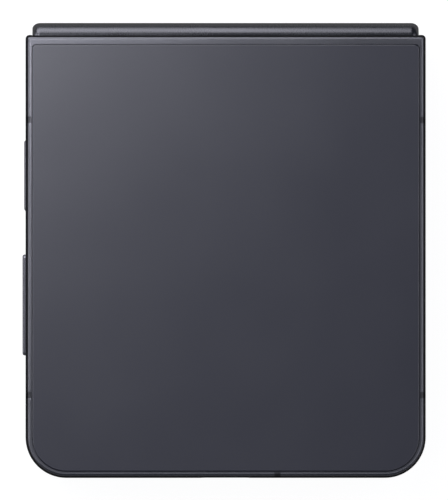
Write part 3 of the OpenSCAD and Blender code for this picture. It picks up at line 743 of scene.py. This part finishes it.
def lens_barrels(mat):
    """Stepped barrels that show through the lens glasses, on the camera modules."""
    z = low("lens_glasses", Z) + 0.62 * MM
    back = z + 1.9 * MM
    steps = [(0, 1.9), (4.3, 1.9), (4.3, 0.05), (3.6, 0.05), (3.5, 0.35), (2.9, 0.4), (2.8, 0.75),
             (2.2, 0.8), (2.1, 1.15), (1.55, 1.2), (1.3, 1.1), (0.8, 0.98), (0, 0.93)]
    profile = [(r * MM, z + h * MM) for r, h in steps]
    half_w = 5.5 * MM
    for k, (x, y) in enumerate(LENSES):
        barrel = turned("lens_barrel_%d" % k, profile, (x, y), 72)
        soften(barrel)
        finish_piece(barrel, ["rear_cameras"], "base", mat["barrel"])
        sides = rect(x - half_w, x + half_w, y - half_w, y + half_w)
        module = prism("camera_body_%d" % k, Z, sides, back, high("rear_cameras", Z))
        soften(module, 0.3 * MM, 3)
        finish_piece(module, ["rear_cameras"], "base", mat["black"])


def flash_piece(mat):
    """The flash's ribbed lens, and its body below."""
    r = FLASH_R - TRIM_GAP
    rib = 0.02 * MM
    z_face, z_body = Z_BASE + rib, Z_BASE + 0.6 * MM
    profile = [(0, z_face)] + [(r * (i / 12) * 0.92, z_face + rib * (i % 2)) for i in range(1, 13)]
    profile += [(r, Z_BASE + 0.08 * MM), (r, z_body), (0, z_body)]
    lens = turned("flash_lens", profile, FLASH, 48)
    soften(lens)
    finish_piece(lens, ["flash_led"], "base", mat["led"])
    lo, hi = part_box("flash_led")
    gap = 0.1 * MM
    sides = rect(lo[X] + gap, hi[X] - gap, lo[Y] + gap, hi[Y] - gap)
    body = prism("flash_body", Z, sides, z_body, hi[Z])
    soften(body, 0.08 * MM)
    finish_piece(body, ["flash_led"], "base", mat["led"])


def front_camera_piece(mat):
    """The camera module, and the little domed lens in the display's hole."""
    lo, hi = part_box("front_camera")
    z_mid = Z_BASE + 5.1 * MM
    module = prism("front_camera_body", Z, rect(lo[X], hi[X], lo[Y], hi[Y]), lo[Z], z_mid)
    soften(module, 0.2 * MM)
    finish_piece(module, ["front_camera"], "base", mat["black"])
    r = 1.9 * MM
    steps = [(r, 0.12), (r - 0.06 * MM, 0.03), (r - 0.18 * MM, 0), (r - 0.5 * MM, 0),
             (r - 0.62 * MM, 0.22), (r * 0.5, 0.42), (r * 0.44, 0.3), (r * 0.3, 0.26),
             (r * 0.15, 0.24), (0, 0.235)]
    profile = [(0, z_mid - 0.3 * MM), (r, z_mid - 0.3 * MM)]
    profile += [(q, hi[Z] - down * MM) for q, down in steps]
    lens = turned("front_camera_lens", profile, ((lo[X] + hi[X]) / 2, (lo[Y] + hi[Y]) / 2), 64)
    soften(lens)
    finish_piece(lens, ["front_camera"], "base", mat["lens_glass"])


# ---- the free edge ----


def usb_pieces(mat):
    """The socket's drawn shell, and its tongue with contacts on both faces."""
    w, h = extent("usb_port", X), extent("usb_port", Z)
    y1, y2 = low("usb_port", Y), high("usb_port", Y)
    wall, lip, edge = 0.3 * MM, 0.12 * MM, 0.06 * MM
    y_deep = y2 - MM
    section = [(0, y2), (0, y1 + edge), (edge, y1),
               (wall - lip, y1), (wall, y1 + lip), (wall, y_deep)]
    shell = loft("usb_shell", [along(Y, moved(slot(w - 2 * i, h - 2 * i), 0, PORT_Z), y)
                               for i, y in section])
    soften(shell)
    finish_piece(shell, ["usb_port"], "lid", mat["steel"])
    half_t, step = 0.35 * MM, 0.18 * MM
    y_tip = y1 + 0.8 * MM
    section = [(y_tip, 0.16 * MM), (y_tip + 0.25 * MM, half_t - 0.03 * MM),
               (y_tip + 0.3 * MM, half_t), (y_tip + 4.6 * MM, half_t),
               (y_tip + 4.8 * MM, half_t + step), (y_deep, half_t + step)]
    profile = [(y, PORT_Z + q) for y, q in section] + [(y, PORT_Z - q) for y, q in section[::-1]]
    tongue = prism("usb_tongue", X, profile, -3.35 * MM, 3.35 * MM)
    soften(tongue, 0.04 * MM)
    finish_piece(tongue, ["usb_port"], "lid", mat["black"])
    strips = []
    half_w = 0.12 * MM
    for side in (1, -1):
        z1, z2 = sorted(PORT_Z + side * (half_t + q * MM) for q in (-0.02, 0.012))
        for i in range(12):
            x = (i - 5.5) * 0.5 * MM
            y_far = y_tip + (4.5 if i in (0, 11) else 4.2) * MM
            sides = rect(x - half_w, x + half_w, y_tip + 0.45 * MM, y_far)
            strips.append(prism("contact", Z, sides, z1, z2))
    contacts = joined(strips)
    contacts.name = "usb_contacts"
    soften(contacts)
    finish_piece(contacts, ["usb_port"], "lid", mat["gold"])


def speaker_mesh(mat):
    """Crossed wires just inside the sound slots."""
    y = Y_FREE + 0.75 * MM
    pitch, thick = 0.16 * MM, 0.05 * MM
    half_w, half_h = 0.95 * MM, 0.58 * MM

    def places(centre, half):
        count = int(half * 2 / pitch)
        return [centre - half + i * half * 2 / count for i in range(count + 1)]

    wires = []
    for x in SOUND_X:
        for q in places(x, half_w):
            sides = rect(q - thick / 2, q + thick / 2, y, y + thick)
            wires.append(prism("wire", Z, sides, PORT_Z - half_h, PORT_Z + half_h))
        for q in places(PORT_Z, half_h):
            sides = rect(y + thick, y + 2 * thick, q - thick / 2, q + thick / 2)
            wires.append(prism("wire", X, sides, x - half_w, x + half_w))
    obj = joined(wires)
    obj.name = "speaker_mesh"
    soften(obj)
    return finish_piece(obj, ["loudspeaker"], "lid", mat["steel"])


# ---- the card tray ----


def tray_piece(mat):
    """The card tray: its outer end closes the slot in the wall, and its frame holds two cards."""
    y, z = middle("sim_tray", Y), middle("sim_tray", Z)
    length, height = extent("sim_tray", Y), extent("sim_tray", Z)
    edge = 0.12 * MM
    section = [(edge * a, HALF_X - edge * b) for a, b in quarter(6)] + [(0, HALF_X - 2.1 * MM)]
    head = loft("sim_tray_head", [along(X, moved(slot(length - 2 * i, height - 2 * i), y, z), x)
                                  for i, x in section])
    boolean(head, round_hole(X, (y - length / 2 + 1.6 * MM, z), 0.42 * MM,
                             HALF_X, HALF_X - 3 * MM, 0.05 * MM))
    soften(welded(head), 0.03 * MM)
    finish_piece(head, ["sim_tray"], "sim_tray", mat["key"])
    half_w, half_h = length / 2 - 0.75 * MM, 0.6 * MM
    sides = rect(low("sim_tray", X), HALF_X - 2.05 * MM, y - half_w, y + half_w)
    body = prism("sim_tray_frame", Z, sides, z - half_h, z + half_h)
    for side, card_x, card_y in ((1, 14.6 * MM, 8.6 * MM), (-1, 15.2 * MM, 9.2 * MM)):
        x1 = HALF_X - 3.2 * MM - card_x
        card = rect(x1, x1 + card_x, y - card_y / 2, y + card_y / 2)
        z1, z2 = sorted((z + side * 0.12 * MM, z + side * 2 * MM))
        boolean(body, prism("cutter", Z, card, z1, z2))
    window = rect(HALF_X - 15.5 * MM, HALF_X - 6.5 * MM, y - 3.2 * MM, y + 3.2 * MM)
    boolean(body, prism("cutter", Z, window, z - PAST, z + PAST))
    soften(welded(body), 0.06 * MM)
    finish_piece(body, ["sim_tray"], "sim_tray", mat["black"])


# ---- materials ----


def set_values(node, **values):
    """Sets inputs of a shader node, with _ for a space in their names."""
    for name, value in values.items():
        node.inputs[name.replace("_", " ")].default_value = value


def maths(tree, operation, *values):
    """A maths node's result. Each value is a number, or an output to link."""
    node = tree.nodes.new("ShaderNodeMath")
    node.operation = operation
    for socket, value in zip(node.inputs, values):
        if isinstance(value, bpy.types.NodeSocket):
            tree.links.new(value, socket)
        else:
            socket.default_value = value
    return node.outputs["Value"]


def noise_texture(tree, place, scale, detail):
    noise = tree.nodes.new("ShaderNodeTexNoise")
    set_values(noise, Scale=scale, Detail=detail)
    tree.links.new(place, noise.inputs["Vector"])
    return noise.outputs["Fac"]


def surface(name, colour, rough, metal=0.0, grain=2500, spread=0.06, bump=0.0015, coat=0.0,
            streak=(1, 1, 1), speck=0.0, transmission=0.0, rim=1.0, shine=0.5):
    """A finish with fine grain: noise varies the roughness by spread and the colour by speck,
    and lifts the surface by bump, in mm."""
    material = bpy.data.materials.new(name)
    material.use_nodes = True
    tree = material.node_tree
    nodes, links = tree.nodes, tree.links
    shader = nodes["Principled BSDF"]
    set_values(shader, Base_Color=(*colour, 1), Roughness=rough, Metallic=metal,
               Coat_Weight=coat, Coat_Roughness=0.08, Transmission_Weight=transmission, IOR=1.5,
               Specular_IOR_Level=shine, Specular_Tint=(rim, rim, rim, 1))
    place = nodes.new("ShaderNodeTexCoord")
    stretch = nodes.new("ShaderNodeMapping")
    set_values(stretch, Scale=streak)
    links.new(place.outputs["Object"], stretch.inputs["Vector"])
    fine = noise_texture(tree, stretch.outputs["Vector"], grain, 3)
    wide = noise_texture(tree, stretch.outputs["Vector"], 60, 4)
    ranged = nodes.new("ShaderNodeMapRange")
    set_values(ranged, From_Min=0.6, From_Max=1.4, To_Min=max(rough - spread, 0.02),
               To_Max=min(rough + spread, 1.0))
    links.new(maths(tree, "ADD", fine, wide), ranged.inputs["Value"])
    links.new(ranged.outputs["Result"], shader.inputs["Roughness"])
    if speck:
        tint = nodes.new("ShaderNodeMix")
        tint.data_type = "RGBA"
        tint.inputs["A"].default_value = (*[c * (1 - speck) for c in colour], 1)
        tint.inputs["B"].default_value = (*[min(c * (1 + speck), 1) for c in colour], 1)
        links.new(fine, tint.inputs["Factor"])
        links.new(tint.outputs["Result"], shader.inputs["Base Color"])
    lift = nodes.new("ShaderNodeBump")
    set_values(lift, Strength=0.5, Distance=bump * MM)
    links.new(fine, lift.inputs["Height"])
    links.new(lift.outputs["Normal"], shader.inputs["Normal"])
    return material


def make_materials():
    return {
        "metal": surface("anodised_frame", (0.095, 0.095, 0.101), 0.35, 1.0, grain=9000,
                         bump=0.002, speck=0.06, rim=0.0),
        "key": surface("anodised_keys", (0.098, 0.098, 0.105), 0.34, 1.0, grain=9000,
                       bump=0.002, speck=0.06, rim=0.2),
        "hinge_metal": surface("polished_hinge_cover", (0.058, 0.058, 0.061), 0.27, 1.0,
                               grain=9000, bump=0.001, speck=0.05, rim=0.5),
        "cap_metal": surface("hinge_end_metal", (0.10, 0.10, 0.11), 0.35, 1.0, grain=6000,
                             bump=0.004),
        "band": surface("band_plastic", (0.042, 0.042, 0.044), 0.36, 1.0, grain=7000,
                        bump=0.003, speck=0.12, rim=0.0),
        "rear_glass": surface("satin_rear_glass", (0.0046, 0.0049, 0.0094), 0.37, grain=12000,
                              spread=0.02, bump=0.001, speck=0.05, shine=0.72),
        "cover_glass": surface("cover_glass", (0.006, 0.006, 0.007), 0.09, grain=300,
                               spread=0.02, bump=0.0003, coat=0.6),
        "lens_glass": surface("coated_lens_glass", (0.012, 0.012, 0.03), 0.05, grain=300,
                              spread=0.01, bump=0.0002, coat=1.0, transmission=0.75),
        "barrel": surface("lens_barrel", (0.02, 0.02, 0.024), 0.38, 0.6, grain=6000, bump=0.003),
        "display": surface("inner_display", (0.010, 0.010, 0.012), 0.16, grain=500,
                           spread=0.03, bump=0.0008, coat=0.5),
        "panel": surface("display_layers", (0.02, 0.02, 0.03), 0.35, grain=4000, bump=0.002),
        "bezel": surface("bezel_plastic", (0.014, 0.014, 0.015), 0.5, grain=6000, bump=0.008,
                         speck=0.15),
        "rubber": surface("soft_pads", (0.018, 0.018, 0.019), 0.72, grain=5000, bump=0.01,
                          speck=0.2),
        "camera_metal": surface("camera_ring_metal", (0.13, 0.13, 0.14), 0.25, 1.0, grain=8000,
                                bump=0.003, speck=0.08),
        "black": surface("black_plastic", (0.016, 0.016, 0.018), 0.48, grain=4500, bump=0.008,
                         speck=0.2),
        "led": surface("flash_led", (0.78, 0.68, 0.36), 0.28, grain=3000, bump=0.004, coat=0.8,
                       speck=0.12),
        "steel": surface("brushed_steel", (0.55, 0.55, 0.56), 0.28, 1.0, grain=1800,
                         bump=0.003, streak=(1, 14, 14), speck=0.08),
        "plate": surface("magnesium_plate", (0.33, 0.33, 0.35), 0.42, 1.0, grain=2500,
                         bump=0.006, speck=0.10),
        "board": surface("circuit_board", (0.012, 0.06, 0.045), 0.40, grain=1400, bump=0.012,
                         coat=0.3, speck=0.35),
        "battery": surface("battery_foil", (0.045, 0.045, 0.05), 0.36, 0.4, grain=900,
                           bump=0.02, speck=0.18),
        "copper": surface("coil_copper", (0.78, 0.36, 0.18), 0.32, 1.0, grain=3000, bump=0.004,
                          streak=(1, 1, 6), speck=0.12),
        "ferrite": surface("ferrite_film", (0.028, 0.028, 0.03), 0.55, grain=2200, bump=0.008,
                           speck=0.3),
        "flex": surface("flex_film", (0.42, 0.20, 0.05), 0.38, grain=1500, bump=0.006,
                        coat=0.3, speck=0.2),
        "brass": surface("gear_brass", (0.70, 0.50, 0.20), 0.30, 1.0, grain=3500, bump=0.004,
                         speck=0.10),
        "gold": surface("contact_gold", (0.86, 0.62, 0.24), 0.22, 1.0, grain=3500, bump=0.002,
                        speck=0.06),
    }


# The CAD nodes that are shown as they are, by finish.
KEPT_NODES = {
    "plate": ("base_midplate", "lid_midplate", "base_support_plate", "lid_support_plate",
              "hinge_brackets"),
    "panel": ("cover_display_panel",),
    "board": ("main_board", "sub_board"),
    "battery": ("base_battery", "lid_battery"),
    "black": ("earpiece_speaker", "loudspeaker"),
    "steel": ("shield_cans", "vibration_motor", "sim_reader", "key_switches", "microphone",
              "base_hinge_arms", "lid_hinge_arms", "base_screws", "lid_screws", "gear_pins"),
    "flex": ("base_flex_cable", "lid_flex_cable", "hinge_flex_cable"),
    "cap_metal": ("hinge_end_caps",),
    "copper": ("charging_coil",),
    "ferrite": ("ferrite_sheet",),
    "brass": ("base_sync_gears", "base_idler_gears", "lid_idler_gears", "lid_sync_gears"),
}


def dress_cad_nodes(mat):
    for finish, names in KEPT_NODES.items():
        for name in names:
            mesh = frame["nodes"][name].data
            mesh.materials.clear()
            mesh.materials.append(mat[finish])


# ---- the floor, the lamps and the surroundings ----

WHITE = (1, 1, 1, 1)
FLOOR_SIZE = 8
FLOOR_GLOW = 0.94           # what the camera sees, and mirrors near the object
FAR_GLOW = 0.40             # what mirrors see of the floor further off
FADE = (0.07, 0.24)         # where that begins and ends
FLOOR_SHADE = 0.10
SKY = 0.12
SKY_COLOUR = (0.70, 0.85, 1.25, 1)
LAMP_TINT = (0.97, 0.97, 1.06)
LAMP_AIM = (0, 0, 0.012)
LAMPS = (  # name, azimuth, elevation, distance, size, radiance; azimuth 0 is +Y and 90 is +X
    ("left_box", -70, 27, 0.6, (0.41, 0.22), 5.6),
    ("left_low_box", -110, 27, 0.6, (0.41, 0.22), 2.0),
    ("top_box", -17, 24, 0.6, (0.42, 0.30), 6.2),
    ("right_box", 70, 37, 0.6, (0.41, 0.22), 3.3),
    ("right_low_box", 110, 37, 0.6, (0.41, 0.22), 1.5),
    ("near_box", 180, 64, 0.6, (0.75, 0.20), 1.55),
    ("glass_box", -45, 58, 0.25, (0.12, 0.12), 13.2),
)


def mixed_shader(tree, factor, first, second, output):
    """Links the first shader where the factor is 0, and the second where it is 1."""
    mix = tree.nodes.new("ShaderNodeMixShader")
    tree.links.new(factor, mix.inputs["Fac"])
    tree.links.new(first, mix.inputs[1])
    tree.links.new(second, mix.inputs[2])
    tree.links.new(mix.outputs["Shader"], output.inputs["Surface"])


def add_floor():
    """A floor that glows white to the camera, and to mirrors and glass near the object. It is
    clear from below."""
    bpy.ops.mesh.primitive_plane_add(size=FLOOR_SIZE, location=(0, 0, 0))
    floor = bpy.context.object
    floor.name = "floor"
    material = bpy.data.materials.new("floor_white")
    material.use_nodes = True
    tree = material.node_tree
    nodes, links = tree.nodes, tree.links
    shader = nodes["Principled BSDF"]
    set_values(shader, Base_Color=(FLOOR_SHADE, FLOOR_SHADE, FLOOR_SHADE, 1), Roughness=0.9,
               Specular_IOR_Level=0.1, Emission_Color=WHITE)
    place = nodes.new("ShaderNodeTexCoord")
    distance = nodes.new("ShaderNodeVectorMath")
    distance.operation = "LENGTH"
    links.new(place.outputs["Object"], distance.inputs[0])
    fade = nodes.new("ShaderNodeMapRange")
    fade.interpolation_type = "SMOOTHSTEP"
    set_values(fade, From_Min=FADE[0], From_Max=FADE[1], To_Min=FLOOR_GLOW, To_Max=FAR_GLOW)
    links.new(distance.outputs["Value"], fade.inputs["Value"])
    rays = nodes.new("ShaderNodeLightPath").outputs
    mirrored = maths(tree, "MAXIMUM", rays["Is Glossy Ray"], rays["Is Transmission Ray"])
    faded = maths(tree, "MULTIPLY", fade.outputs["Result"], mirrored)
    glow = maths(tree, "MULTIPLY_ADD", rays["Is Camera Ray"], FLOOR_GLOW, faded)
    links.new(glow, shader.inputs["Emission Strength"])
    backfacing = nodes.new("ShaderNodeNewGeometry").outputs["Backfacing"]
    clear = nodes.new("ShaderNodeBsdfTransparent").outputs["BSDF"]
    mixed_shader(tree, backfacing, shader.outputs["BSDF"], clear, nodes["Material Output"])
    floor.data.materials.append(material)


def add_world():
    """A dim, plain sky that the camera sees white."""
    world = bpy.data.worlds.new("surroundings")
    bpy.context.scene.world = world
    world.use_nodes = True
    tree = world.node_tree
    sky = tree.nodes["Background"]
    set_values(sky, Color=SKY_COLOUR, Strength=SKY)
    white = tree.nodes.new("ShaderNodeBackground")
    set_values(white, Color=WHITE, Strength=1.0)
    seen = tree.nodes.new("ShaderNodeLightPath").outputs["Is Camera Ray"]
    mixed_shader(tree, seen, sky.outputs["Background"], white.outputs["Background"],
                 tree.nodes["World Output"])


def softbox(name, azimuth, elevation, distance, size, radiance):
    """A rectangular lamp that faces the object."""
    data = bpy.data.lights.new(name, "AREA")
    data.shape = "RECTANGLE"
    data.size, data.size_y = size
    data.color = LAMP_TINT
    data.energy = radiance * math.pi * size[0] * size[1]
    lamp = bpy.data.objects.new(name, data)
    a, e = math.radians(azimuth), math.radians(elevation)
    bearing = Vector((math.sin(a) * math.cos(e), math.cos(a) * math.cos(e), math.sin(e)))
    lamp.location = Vector(LAMP_AIM) + bearing * distance
    lamp.rotation_mode = "QUATERNION"
    lamp.rotation_quaternion = (-bearing).to_track_quat("-Z", "Y")
    lamp.visible_camera = False
    bpy.context.scene.collection.objects.link(lamp)


# ---- the scene ----


def build():
    bpy.context.scene.view_settings.view_transform = "Standard"
    mat = make_materials()
    dress_cad_nodes(mat)
    base_shell(mat)
    lid_shell(mat)
    for half in ("base", "lid"):
        bands(half, mat)
        bezel_piece(half, mat)
    panes(mat)
    hinge_cover(mat)
    for node in ("power_key", "volume_key"):
        key_piece(node, mat)
    tray_piece(mat)
    display_sheet("base_display_sheet", "base", ["base_display_panel", "display_fold"], mat)
    display_sheet("lid_display_sheet", "lid", ["lid_display_panel"], mat)
    lens_pieces(mat)
    lens_barrels(mat)
    flash_piece(mat)
    front_camera_piece(mat)
    usb_pieces(mat)
    speaker_mesh(mat)
    bumper_pieces(mat)
    add_floor()
    add_world()
    for lamp in LAMPS:
        softbox(*lamp)


add_camera()
build()
